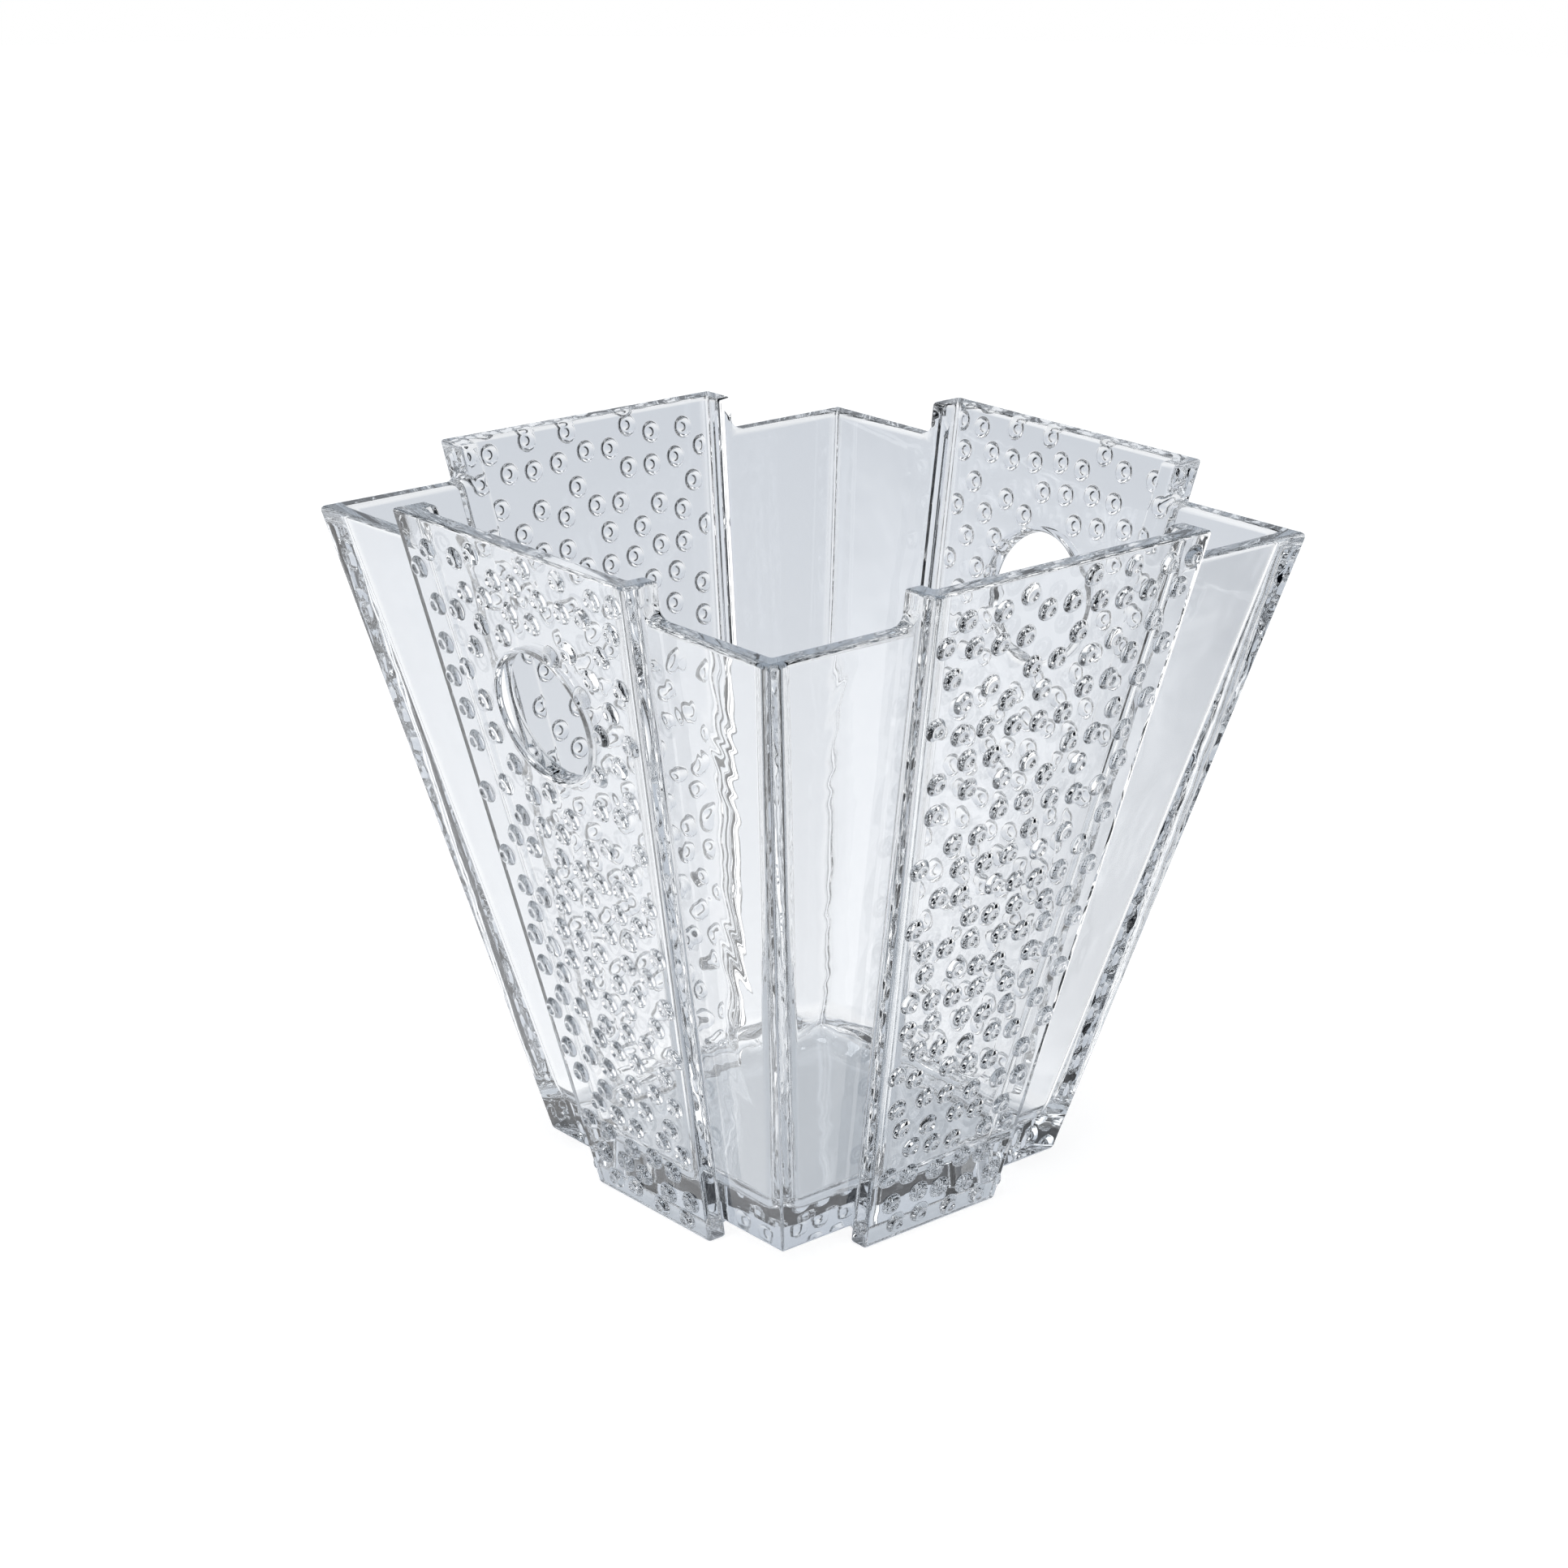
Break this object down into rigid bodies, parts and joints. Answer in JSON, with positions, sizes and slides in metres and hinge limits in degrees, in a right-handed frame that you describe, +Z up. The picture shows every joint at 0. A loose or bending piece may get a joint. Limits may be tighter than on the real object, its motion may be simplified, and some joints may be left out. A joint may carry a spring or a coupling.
{
  "type": "cut crystal vase",
  "caption": "Heavy clear crystal vase, square and flared, with plain V-shaped corners, raised beaded panels and hand holes in two opposite panels.",
  "frame": {"origin": "centre of the feet, on the surface the vase stands on", "axes": "+Z up along the vase's middle; the plain panels face -Y and +Y, the panels with hand holes face -X and +X"},
  "size_m": [0.2056, 0.2056, 0.2],
  "materials": {
    "crystal": "polished clear lead crystal",
    "crystal_beads": "fire-polished clear crystal beads"
  },
  "bodies": {
    "root": {"base_block": "crystal", "panel_front": "crystal", "panel_right": "crystal", "panel_back": "crystal", "panel_left": "crystal", "corner_front_right": "crystal", "corner_back_right": "crystal", "corner_back_left": "crystal", "corner_front_left": "crystal", "web_front_left": "crystal", "web_front_right": "crystal", "web_right_front": "crystal", "web_right_back": "crystal", "web_back_right": "crystal", "web_back_left": "crystal", "web_left_back": "crystal", "web_left_front": "crystal", "beads_front": "crystal_beads", "beads_right": "crystal_beads", "beads_back": "crystal_beads", "beads_left": "crystal_beads"}
  },
  "joints": []
}
